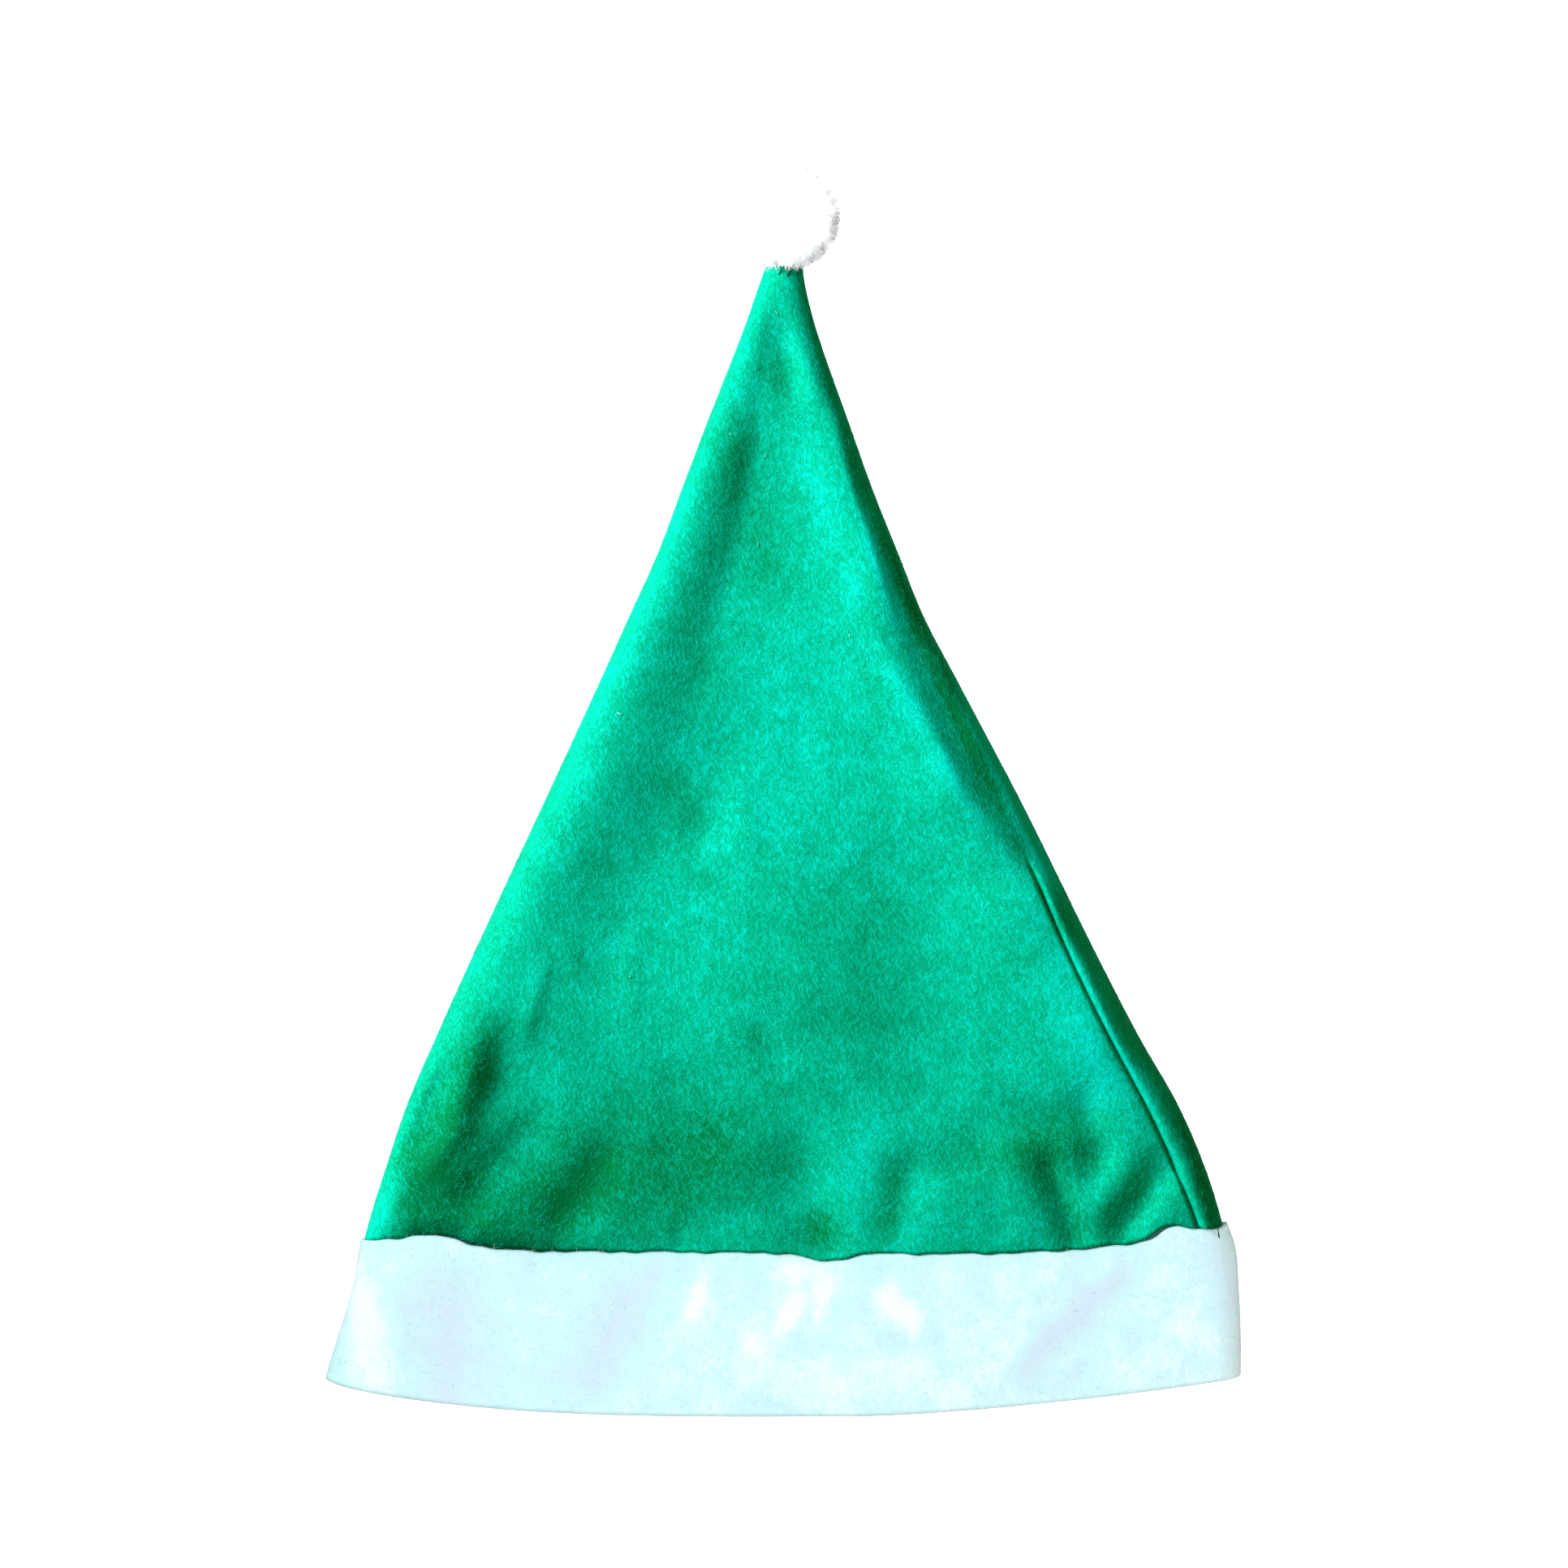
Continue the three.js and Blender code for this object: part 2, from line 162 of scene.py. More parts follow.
# Painted shade (below 0) and painted highlights (above 0) in the felt's colour, where the folds and the
# side seam are shaded or lit, in the columns of the folds.
CROWN_PAINTED_SHADING = (
    (-12, 290, 106, 64, 8, 8, -0.22),
    (-40, 200, 60, 40, 9, 9, 0.12),
    (5, 215, 95, 70, 24, 22, 0.1),
    (22, 138, 95, 60, 22, 20, -0.12),
    (84, 165, 117, 90, 12, 9, 0.2),
    (-60, 72, 12, 120, 22, 20, -0.42),
    (-106, 91, 66, 70, 10, 10, -0.4),
    (-124, 66, 72, 24, 4, 4, 0.3),
    (-93, 150, 65, 110, 5, 6, -0.1),
    (68, 82, 15, 40, 10, 10, -0.2),
    (86, 84, 8, 30, 9, 9, -0.26),
    (95, 86, 112, 26, 4, 3, -0.15),
    (99, 113, 117, 30, 9, 5, 0.36),
    (46, 214, 119.6, 64, 3, 3, 0.2),
    (-64, 69, 56, 30, 6, 6, -0.22),
    (26, 80, 90, 30, 9, 9, 0.14),
    (12, 57, 90, 14, 6, 6, -0.42),
    (109, 66, 60, 26, 7, 7, -0.28),
    (90, 66, 112, 28, 4, 4, -0.25),
    (35, 68, 80, 26, 4, 4, -0.28),
    # small darker and lighter spots between the folds
    (-33, 194, 124, 22, 8, 5, -0.24),
    (-9, 118, 76, 10, 3.5, 3.5, -0.24),
    (-64, 143, 115, 8, 2.4, 2.4, -0.2),
    (-1, 326, 92, 14, 4, 4, -0.22),
    (14, 287, 102, 24, 5, 5, 0.14),
    (22, 262, 112, 12, 4, 4, 0.18),
    (-26, 232, 96, 16, 5, 5, -0.14),
    # painted light and shade on the right fold above the side seam: its inner edge, middle line and outer
    # edge
    (42, 239, 110.5, 88, 3, 3, 0.25),
    (32.8, 261.5, 109, 36, 2.4, 2.4, 0.5),
    (58, 214, 115.6, 72, 3, 3, -0.66),
    (36.5, 261.5, 111, 40, 2.4, 2.4, -0.6),
    (69, 201, 116, 74, 2.4, 2.4, 0.7),
    (79, 180, 114, 24, 2.2, 2.2, 0.6),
    # painted shade and highlights on the inner edge of the roll beside the side seam, and on its outer half
    (84, 162, 117, 40, 3, 3, -0.32),
    (109, 112, 117, 36, 3, 3, 0.2),
    (51.5, 241, 115.5, 115, 4, 8, 0.05),
    (100.5, 143, 117.5, 115, 3, 8, -0.1),
    (134, 70, 109, 60, 3, 8, -0.3),
)
# The band's painted shade along its folds, and its painted highlights.
BAND_PAINTED_SHADING = (
    (-105, 24, 92, 44, 15, 15, -0.5),
    (-51, 26, 62, 46, 9, 6, -0.55),
    (89.5, 30, 42, 54, 4, 6, -0.32),
    (90, 30, 42, 50, 2.6, 2.6, -0.45),
    (90, 12, 48, 16, 2.2, 2.2, -0.4),
    (-48, 30, 62, 40, 3, 3, -0.5),
    (-20, 41, 70, 12, 2.2, 2.2, -0.3),
    (-31, 45, 70, 7, 2.5, 2.5, -0.3),
    (-27.5, 36, 66, 14, 2.4, 2.4, 0.4),
    (7, 45, 0, 15, 4, 4, 0.5),
    (2.5, 32, 56, 17, 2.8, 2.8, 0.7),
    (12, 36, 79, 15, 2.6, 2.6, 0.7),
    (-9, 22, 0, 8, 4, 4, 0.5),
    (36, 34, 127, 20, 4, 4, 0.6),
    (-131, 28, 102, 40, 7, 7, 0.6),
    (-18, 26, 90, 36, 14, 14, 0.14),
    (30, 10, 0, 70, 9, 9, 0.24),
    (68, 28, 90, 36, 13, 13, 0.14),
    (126, 30, 90, 36, 9, 9, 0.16),
    (140, 45, 92, 22, 7, 5, -0.3),
)

# The line of the hem, the line of the seam above it, the gap between crown and band along that line, and
# the places where it runs up or down: how far across the hat each is, its width and its height.
HEM_LINE = {"left_rise": 10.5, "left_power": 3, "right_rise": 12, "right_start": 22, "right_power": 1.5}
SEAM_LINE = {"middle": 50.5, "left_rise": 3.5, "right_rise": 9.5, "power": 4}
SEAM_GAP = 0.12
SEAM_WAVES = (
    (-114, 15, 4.2),
    (9, 8, -2.8),
    (118, 8, 3.4),
)

# The raggedness of that line: the length of each ripple, its height and where it starts, in radians.
SEAM_RIPPLES = ((23, 0.22, 0.3), (10.7, 0.16, 1.7), (7.3, 0.12, 4))

# The width of each side fold's turn under the hat, and the most that it takes of half the hat's width.
TURN = {"left": 8, "right": 9, "most": 0.9}

# How the cloth rolls in at a sewn edge: the roll's length and depth, and where the crown's edge gapes.
CROWN_LIP = {"length": 7, "depth": 0.3}
CROWN_LIP_GAPE = {"x": -91, "width": 34, "depth": 2.6}
BAND_LIP = {"length": 5, "depth": 0.6}
LIP_ROWS = 6

# The side seam: its sharp groove, the soft valley that it is higher up, and the roll of cloth to its
# right. Each comes in over the range of seam_in that its fade gives.
GROOVE = {"depth": 2.2, "panel_width": 0.5, "roll_width": 1.1, "fade": (7.6, 8.5)}
VALLEY = {"depth": 1.8, "panel_width": 8, "roll_width": 12, "fade": (4, 5.5)}
ROLL = {"height": 1.6, "skew": 0.62, "fade": (7.6, 8.8)}

# Folds fade out within this power of the way to a side fold. The soft unevenness of the cloth is
# noise of a few sizes, each with the length of its swells and their height.
EDGE_FADE = 24
UNEVEN = ((48, 0.9), (20, 0.45), (9, 0.16))

# Mesh steps round a section, and the share of crowding at the ends of its long upper run.
STEPS = {"roll": 20, "right_turn": 8, "floor": 30, "left_turn": 8, "top": 170}
CROWDING = 0.75
CROWN_ROWS = 150
BAND_ROWS = 30
TIP_CAP = (0.85, 0.6, 0.3, 0)

# The two felts: the heading of their nap in degrees from +X, their sheen and relief, and how the shade
# of the fibres is made up of strokes, slow patches and an even part.
GREEN_FELT = {"nap": 112, "sheen": 0.15, "relief": 0.6, "strokes": 0.6, "patches": 0.2, "even": 0.26}
WHITE_FELT = {"nap": 95, "sheen": 0.1, "relief": 0.3, "strokes": 0.36, "patches": 0.4, "even": 0.23}

# What the felts share: the size of a stroke in metres, how the strokes turn from the nap and how others
# cross it, the share of each in the matting, and the range of the noise that is drawn out to full contrast.
STROKES = {"length": 0.0028, "width": 0.0008, "turns": (-16, 0, 19), "crossing": -62}
MATTING = {"brushed": 0.6, "crossing": 0.2, "grain": 0.2, "grain_scale": 1500, "contrast": (0.5, 0.74)}
PATCHES = {"scale": 90, "contrast": (0.3, 0.7)}
RELIEF_DEPTH = 0.0006
FELT_SURFACE = {"Roughness": 0.95, "Specular IOR Level": 0.04, "Sheen Roughness": 0.6}

# Loose fibres, pile and thread: the noise that shades one unlike the next, and their surface.
FIBRE_SHADE = {"scale": 400, "contrast": (0.35, 0.65)}
FIBRE_SURFACE = {
    "Roughness": 0.8,
    "Specular IOR Level": 0.1,
    "Subsurface Radius": (1, 1, 1),
    "Subsurface Scale": 0.012,
}
LINT_COLOURS = ((0.2, 0.6, 0.5), (0.5, 0.8, 0.7))
THREAD_COLOURS = ((0, 0.03, 0.012), (0, 0.06, 0.03))

# The group of pieces that each finish is lit with.
LIT_WITH = {"green_felt": "Green felt", "white_felt": "White felt", "white_pile": "White pile"}

# The light from all round, and the backdrop that shows beyond the floor.
AMBIENT = (0.23, 0.23, 0.092, 1)
BACKDROP = (1, 1, 1, 1)

# The lights: the name, the place, the power in watts, the colour, the side and the group that it lights.
KEY_PLACE = (-1.51, 0.87, 0.97)
LIGHTS = (
    ("Green key", KEY_PLACE, 96, (0.95, 1, 1.15), 0.7, "Green felt"),
    ("White key", KEY_PLACE, 29, (0.95, 1, 1.1), 0.7, "White felt"),
    ("White fill", (-0.2, 0.25, 2), 18, (0.95, 1, 1.2), 0.7, "White felt"),
    ("White side fill", (1.5, -0.9, 0.9), 16, (1.4, 1, 1.15), 0.7, "White felt"),
    ("Pile key", KEY_PLACE, 40, (1, 1, 1.1), 0.7, "White pile"),
    ("Pile fill", (-0.35, 0.26, 1), 205, (1, 1, 1.1), 1.6, "White pile"),
    ("Floor fill", (0.3, -0.3, 3), 700, (1, 1, 1.06), 3, "Floor"),
)

# The floor, with a slow change of its shade, and the camera over it.
FLOOR = {"half_side": 2.5, "below": 0.0001, "roughness": 0.9, "patch_scale": 3, "shade": 0.98}
CAMERA = {"place": (0.0004, 0.0015, 1.6), "lens": 115.3, "sensor": 36}

# Loose fibres stay this far off the floor, in metres.
FLOOR_CLEAR = 0.0003

# Loose fibres on the felt. Their longest on the crown and on the band, their highest lift, their radius
# and how deep they are rooted are in metres. shortest and lowest are shares of the longest and the
# highest, bend is how much they curl, arch how much of an arch they make, and steepest how far the felt
# may face down and still have some. The crown has crown_to_band times as many as the band.
FUZZ = {
    "crown": 0.0032,
    "band": 0.0026,
    "lift": 0.0005,
    "radius": 0.00004,
    "sunk": 0.00005,
    "shortest": 0.4,
    "lowest": 0.2,
    "bend": 0.35,
    "arch": 0.85,
    "steepest": -0.3,
    "crown_to_band": 3,
}

# The seeds of the random draws.
SEEDS = {"crown_fuzz": 5, "band_fuzz": 6, "pile": 11, "wisps": 12}

# The pompom: locks of pile on a round head, shares of its radius, how far the strands lean to the middle
# of their lock and stray from it, their radius in metres, and the depth of their darker shade.
LOCKS = {"count": 44, "lean": 0.16, "head": 0.8, "swell": 0.1, "spread": 0.3}
PILE = {"foot": 0.8, "short": 0.94, "long": 1.0, "uneven": 0.025, "pull": 0.4, "stray": 0.1}
PILE_RADIUS = 0.00008
PILE_SHADE = 0.97

# Stitches of dark thread at the tip and at the end of the band's sewn edge, and lint on the crown: the
# middle, the heading in degrees from +X, the length, and how far it is off the crown.
THREAD_COLUMNS = ("x", "y", "heading", "length", "above")
STITCHES = (
    (-0.6, 360.6, 64, 3, 0),
    (2.3, 360.4, 66, 3.6, 0),
    (5.3, 361.4, 72, 4.4, 0),
    (6.4, 361.8, 86, 4, 0),
    (137, 57.5, 100, 3.4, 1.5),
)
LINT = (
    (-51, 220.5, -20, 2.2, 0),
    (-5.5, 302, 95, 1.6, 0),
    (-16.3, 308.5, 130, 1.1, 0),
    (-7.8, 274, 100, 1.2, 0),
    (-1.8, 347, 135, 1.8, 0),
    (-48, 138, 80, 1.2, 0),
    (21, 245, 110, 1.2, 0),
)

# The radii of the threads in metres, the sides of their tubes, and how far off the felt their middles are
# in millimetres.
THREAD_RADIUS = {"stitch": 0.00022, "lint": 0.00012, "wisp": 0.00008}
THREAD_SIDES = {"stitch": 6, "lint": 5}
THREAD_ARCH = 0.4

# Wisps of the pompom's pile that lie over the tip of the crown, in millimetres, and how far they lean.
WISPS = {
    "count": 50,
    "from_y": 365,
    "shortest": 2,
    "longest": 5,
    "half_width": 5.5,
    "lean": 22,
    "root_above": 0.9,
    "above": 0.15,
}


def table(names, rows):
    """Columns of a table by name."""
    return dict(zip(names, np.array(rows, float).T))


def smooth_through(places, values, at):
    """Values at some places along a smooth curve through a table's rows."""
    slopes = np.diff(values) / np.diff(places)
    tangents = np.concatenate((slopes[:1], (slopes[1:] + slopes[:-1]) / 2, slopes[-1:]))
    at = np.clip(at, places[0], places[-1])
    row = np.clip(np.searchsorted(places, at) - 1, 0, len(places) - 2)
    span = places[row + 1] - places[row]
    t = (at - places[row]) / span
    start = (1 + 2 * t) * (1 - t) ** 2 * values[row] + t * (1 - t) ** 2 * span * tangents[row]
    end = t**2 * (3 - 2 * t) * values[row + 1] + t**2 * (t - 1) * span * tangents[row + 1]
    return start + end


def section_at(rows, y):
    """All the section columns at y."""
    columns = table(SECTION_COLUMNS, rows)
    found = {name: smooth_through(columns["y"], columns[name], y) for name in SECTION_COLUMNS[1:]}
    found["lift"] = np.maximum(found["lift"], 0)
    return found


def bell(distance, width):
    """A soft hump, 1 in the middle."""
    return np.exp(-((distance / width) ** 2))


def soft_step(value, low, high):
    """0 below low, 1 above high, and smooth between."""
    t = np.clip((value - low) / (high - low), 0, 1)
    return t * t * (3 - 2 * t)


def fold_height(rows, x, y):
    """Height that the ridges and dents add at x, y."""
    total = np.zeros_like(x)
    for fold in rows:
        row = dict(zip(FOLD_COLUMNS, fold))
        turn = math.radians(row["heading"])
        along = (x - row["x"]) * math.cos(turn) + (y - row["y"]) * math.sin(turn)
        over = (y - row["y"]) * math.cos(turn) - (x - row["x"]) * math.sin(turn)
        ends = np.exp(-((2 * along / row["length"]) ** 4))
        total += row["height"] * bell(over, np.where(over > 0, row["left"], row["right"])) * ends
    return total


def unevenness(x, y):
    """Height of the soft swells of the cloth at x, y."""
    total = np.zeros_like(x)
    for length, height in UNEVEN:
        places = np.stack((x, y, np.full_like(x, length)), axis=-1).reshape(-1, 3) / length
        total += height * np.reshape([noise.noise(place) for place in places], x.shape)
    return total


def groove_depth(from_seam, seam_in):
    """Depth of the side seam's dip: a soft valley high up that becomes a sharp line lower down."""
    line, valley = (
        dip["depth"] * bell(from_seam, np.where(from_seam < 0, dip["panel_width"], dip["roll_width"]))
        for dip in (GROOVE, VALLEY)
    )
    low = soft_step(seam_in, *GROOVE["fade"])
    return low * line + (1 - low) * soft_step(seam_in, *VALLEY["fade"]) * valley


def hem_line(u):
    """Place of the hem along the hat, u from -1 at the left fold to 1 at the right."""
    left = HEM_LINE["left_rise"] * np.clip(-u, 0, 1) ** HEM_LINE["left_power"]
    start = HEM_LINE["right_start"]
    right = np.clip((u * HEM_HALF - start) / (HEM_HALF - start), 0, 1) ** HEM_LINE["right_power"]
    return left + HEM_LINE["right_rise"] * right


def tip_line(u):
    """Place of the crown's upper end along the hat."""
    return np.full_like(u, TIP_Y)


def seam_line(u):
    """Place of the seam between crown and band along the hat."""
    rise = np.where(u < 0, SEAM_LINE["left_rise"], SEAM_LINE["right_rise"])
    waves = sum(height * bell(u * SEAM_HALF - x, width) for x, width, height in SEAM_WAVES)
    x = 2 * math.pi * SEAM_HALF * u
    ripples = sum(height * np.sin(x / length + start) for length, height, start in SEAM_RIPPLES)
    return SEAM_LINE["middle"] + rise * np.abs(u) ** SEAM_LINE["power"] + waves + ripples


def band_line(u):
    """Place of the band's sewn edge along the hat."""
    return seam_line(u) - SEAM_GAP


def places_round(section):
    """Where the mesh lines cross a section, from the side seam round the hat, and which are on top."""
    left, right = section["left"], section["right"]
    half = (right - left) / 2
    seam = right - section["seam_in"]
    right_foot = right - np.minimum(TURN["right"], TURN["most"] * half)
    left_foot = left + np.minimum(TURN["left"], TURN["most"] * half)
    t = {name: np.arange(count) / count for name, count in STEPS.items()}
    quarter = math.pi / 2
    crowd = (1 - CROWDING) * t["top"] + CROWDING * (1 - np.cos(math.pi * t["top"])) / 2
    runs = (
        seam + (right - seam) * (1 - np.cos(math.pi * t["roll"])) / 2,
        right_foot + (right - right_foot) * np.cos(quarter * t["right_turn"]),
        right_foot + (left_foot - right_foot) * t["floor"],
        left_foot + (left - left_foot) * np.sin(quarter * t["left_turn"]),
        left + (seam - left) * crowd,
    )
    upper = np.concatenate([np.full(len(t[name]), name in ("roll", "top")) for name in STEPS])
    return np.concatenate(runs, axis=1), upper


def layer_heights(section, u):
    """Heights of the upper and the lower layer at u."""
    half = (section["right"] - section["left"]) / 2
    on_left = u < 0
    fold = np.where(on_left, section["left_fold"], section["right_fold"])
    blunt = np.where(on_left, section["left_blunt"], section["right_blunt"])
    edge = section["lift"] + fold
    reach = np.where(u < section["hollow"], HOLLOW["left"], HOLLOW["right"])
    hollow = section["sag"] * bell(u - section["hollow"], reach)
    upper = edge + (section["loft"] - edge) * np.sqrt(1 - np.abs(u) ** blunt) - hollow
    turn = np.minimum(np.where(on_left, TURN["left"], TURN["right"]), half)
    rolled = np.clip(np.abs(u) * half - (half - turn), 0, turn) / turn
    lower = section["lift"] + fold * (1 - np.sqrt(1 - rolled**2))
    return upper, lower


def unit(vectors):
    """Vectors with their lengths made 1."""
    return vectors / np.maximum(np.linalg.norm(vectors, axis=-1, keepdims=True), 1e-12)


def moved_in(points, depth):
    """Loops of points moved in towards the hollow by a depth for each point, and not at the side folds."""
    along = np.roll(points, -1, axis=1) - np.roll(points, 1, axis=1)
    along[..., 1] = 0
    along = unit(along)
    x = points[..., 0]
    left, right = x.min(axis=1, keepdims=True), x.max(axis=1, keepdims=True)
    depth = depth * (1 - np.abs((2 * x - left - right) / (right - left)) ** EDGE_FADE)
    moved = points.copy()
    moved[..., 0] += along[..., 2] * depth
    moved[..., 2] -= along[..., 0] * depth
    return moved


def upper_layer(sections, folds, u, y):
    """The upper layer with its folds at u and y: its x, its height, the lower layer's and the section."""
    section = section_at(sections, y)
    x = section["left"] + (section["right"] - section["left"]) * (u + 1) / 2
    top, floor = layer_heights(section, u)
    top = top + (1 - np.abs(u) ** EDGE_FADE) * (fold_height(folds, x, y) + unevenness(x, y))
    return x, top, floor, section


def crown_top(x, y):
    """Height of the crown's upper face at places on it."""
    section = section_at(CROWN_SECTIONS, y)
    u = (2 * x - section["left"] - section["right"]) / (section["right"] - section["left"])
    return upper_layer(CROWN_SECTIONS, CROWN_FOLDS, np.clip(u, -1, 1), y)[1]


def groove_raise(x, _u, section, _shares):
    """How far the side seam raises the crown: below 0 in its dip and above 0 on the roll beside it."""
    seam_in = section["seam_in"]
    from_seam = x - section["right"] + seam_in
    roll = ROLL["height"] * soft_step(seam_in, *ROLL["fade"])
    over = np.clip(from_seam / seam_in, 0, 1) ** ROLL["skew"]
    return roll * np.sin(math.pi * over) - groove_depth(from_seam, seam_in)


def band_raise(_x, u, _section, shares):
    """How far the band's sewn edge goes up or down to lie level with the crown's."""
    line = seam_line(u)
    crown = upper_layer(CROWN_SECTIONS, CROWN_FOLDS, u, line)[1]
    band = upper_layer(BAND_SECTIONS, BAND_FOLDS, u, line)[1]
    return (1 - shares) ** 2 * (1 - np.abs(u) ** EDGE_FADE) * (crown - band)


def felt_tube(sections, folds, shares, line_start, line_end, raise_at):
    """Rows of points round the hat, in metres."""
    shares = shares[:, None]
    middle = line_start(np.zeros(1)) * (1 - shares) + line_end(np.zeros(1)) * shares
    whole = section_at(sections, middle)
    x, upper = places_round(whole)
    u = (2 * x - whole["left"] - whole["right"]) / (whole["right"] - whole["left"])
    u = np.clip(u, -1, 1)
    y = line_start(u) * (1 - shares) + line_end(u) * shares
    x, top, floor, section = upper_layer(sections, folds, u, y)
    z = np.where(upper, top + raise_at(x, u, section, shares), floor)
    return np.stack((x, y + HEM_Y, z), axis=2) * MM


def rows_from_lip(count, length, lip):
    """Shares of the way from the sewn edge to the far end, and how much of its depth the roll has."""
    start = lip["length"] / length
    roll = np.linspace(0, 1, LIP_ROWS, endpoint=False)
    shares = np.concatenate((roll * start, np.linspace(start, 1, count)))
    rolled = np.concatenate(((1 - roll) ** 2, np.zeros(count)))
    return shares, rolled[:, None] * MM


def crown_points():
    """The outer face of the crown, from the sewn edge to the closed tip."""
    shares, rolled = rows_from_lip(CROWN_ROWS, TIP_Y - SEAM_LINE["middle"], CROWN_LIP)
    points = felt_tube(CROWN_SECTIONS, CROWN_FOLDS, shares, seam_line, tip_line, groove_raise)
    gape = CROWN_LIP_GAPE["depth"] * bell(points[..., 0] / MM - CROWN_LIP_GAPE["x"], CROWN_LIP_GAPE["width"])
    points = moved_in(points, rolled * (CROWN_LIP["depth"] + gape))
    last = points[-1]
    centre = last.mean(axis=0)
    cap = np.stack([centre + (last - centre) * share for share in TIP_CAP])
    return np.concatenate((points, cap))


def band_points():
    """The outer face of the band, from the sewn edge to the hem."""
    shares, rolled = rows_from_lip(BAND_ROWS, SEAM_LINE["middle"], BAND_LIP)
    points = felt_tube(BAND_SECTIONS, BAND_FOLDS, shares, band_line, hem_line, band_raise)
    return moved_in(points, rolled * BAND_LIP["depth"])


class Wire:
    """A shader socket that takes part in sums, and the tree that it is in."""

    def __init__(self, tree, socket=None):
        self.tree = tree
        self.socket = socket

    def node(self, kind, settings=None, inputs=None, output=0):
        """Add a node of this kind with its settings and inputs, and return one of its outputs."""
        made = self.tree.nodes.new(kind)
        for name, value in (settings or {}).items():
            setattr(made, name, value)
        for key, value in (inputs or {}).items():
            if isinstance(value, Wire):
                value.into(made.inputs[key])
            else:
                made.inputs[key].default_value = value
        return Wire(self.tree, made.outputs[output])

    def into(self, socket):
        """Link this value into another node's input."""
        self.tree.links.new(self.socket, socket)

    def maths(self, operation, other):
        """This value and another, put together by one operation."""
        return self.node("ShaderNodeMath", {"operation": operation}, {0: self, 1: other})

    def __add__(self, other):
        return self.maths("ADD", other)

    def __mul__(self, other):
        return self.maths("MULTIPLY", other)

    def larger(self, other):
        """The larger of this value and another."""
        return self.maths("MAXIMUM", other)

    def between(self, low, high):
        """This value as a share of the way from low to high, kept within 0 and 1."""
        return self.node("ShaderNodeMapRange", {"clamp": True}, {0: self, 1: low, 2: high})

    def mix(self, first, second):
        """A colour this share of the way from the first to the second."""
        return self.node("ShaderNodeMix", {"data_type": "RGBA"}, {0: self, 6: first, 7: second}, 2)


def new_material(name):
    """An empty node material, its tree as a wire, and its shader node."""
    material = bpy.data.materials.new(name)
    material.use_nodes = True
    shader = material.node_tree.nodes["Principled BSDF"]
    return material, Wire(material.node_tree), shader


def set_constants(shader, values):
    """Set some of the shader's own sockets."""
    for name, value in values.items():
        shader.inputs[name].default_value = value


def fibre_noise(tree, place, heading):
    """Noise drawn out into short strokes along a heading."""
    size = (STROKES["length"], STROKES["width"], STROKES["width"])
    turned = tree.node(
        "ShaderNodeMapping",
        {"vector_type": "TEXTURE"},
        {"Vector": place, "Rotation": (0, 0, math.radians(heading)), "Scale": size},
    )
    return tree.node("ShaderNodeTexNoise", None, {"Vector": turned, "Scale": 1, "Detail": 1})


def felt_material(name, felt, colour, light, deep):
    """Matted short fibres brushed one way: strokes about the nap, a fine grain, slow patches, painted shade.
    """
    material, tree, shader = new_material(name)
    place = tree.node("ShaderNodeTexCoord", None, None, "Object")
    turns = (*STROKES["turns"], STROKES["crossing"])
    first, second, third, crossing = (fibre_noise(tree, place, felt["nap"] + turn) for turn in turns)
    brushed = first.larger(second).larger(third)
    # The mesh's nap attribute is painted shade and painted highlight, added to the shade of the fibres.
    painted_shading = tree.node("ShaderNodeAttribute", {"attribute_name": "nap"}, None, "Fac")
    grain_inputs = {"Vector": place, "Scale": MATTING["grain_scale"], "Detail": 2}
    grain = tree.node("ShaderNodeTexNoise", None, grain_inputs)
    patches = tree.node("ShaderNodeTexNoise", None, {"Vector": place, "Scale": PATCHES["scale"], "Detail": 4})
    matted = brushed * MATTING["brushed"] + crossing * MATTING["crossing"] + grain * MATTING["grain"]
    stroked = matted.between(*MATTING["contrast"]) * felt["strokes"]
    patched = patches.between(*PATCHES["contrast"]) * felt["patches"]
    shade = stroked + patched + felt["even"] + painted_shading
    body = shade.between(0, 0.5).mix((*deep, 1), (*colour, 1))
    shade.between(0.5, 1).mix(body, (*light, 1)).into(shader.inputs["Base Color"])
    relief = {"Strength": felt["relief"], "Distance": RELIEF_DEPTH, "Height": matted}
    tree.node("ShaderNodeBump", None, relief).into(shader.inputs["Normal"])
    set_constants(shader, FELT_SURFACE)
    set_constants(shader, {"Sheen Weight": felt["sheen"], "Sheen Tint": (*light, 1)})
    return material


def fibre_material(name, root, tip, glow=0):
    """Loose fibres: a shade that changes slowly from one to the next, and light that goes through them."""
    material, tree, shader = new_material(name)
    place = tree.node("ShaderNodeTexCoord", None, None, "Object")
    noise_inputs = {"Vector": place, "Scale": FIBRE_SHADE["scale"], "Detail": 1}
    change = tree.node("ShaderNodeTexNoise", None, noise_inputs).between(*FIBRE_SHADE["contrast"])
    change.mix((*root, 1), (*tip, 1)).into(shader.inputs["Base Color"])
    set_constants(shader, FIBRE_SURFACE)
    set_constants(shader, {"Subsurface Weight": glow})
    return material


def lit_group(name):
    """The collection of what some lights are for, made when it is first asked for."""
    return bpy.data.collections.get(name) or bpy.data.collections.new(name)


def finished(name, mesh, material, slot):
    """A piece made from a mesh, in the scene and on the hat's body."""
    piece = bpy.data.objects.new(name, mesh)
    bpy.context.scene.collection.objects.link(piece)
    lit_group(LIT_WITH[slot]).objects.link(piece)
    mesh.materials.append(material)
    mesh.polygons.foreach_set("use_smooth", np.ones(len(mesh.polygons), bool))
    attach(piece, "root")
    return piece


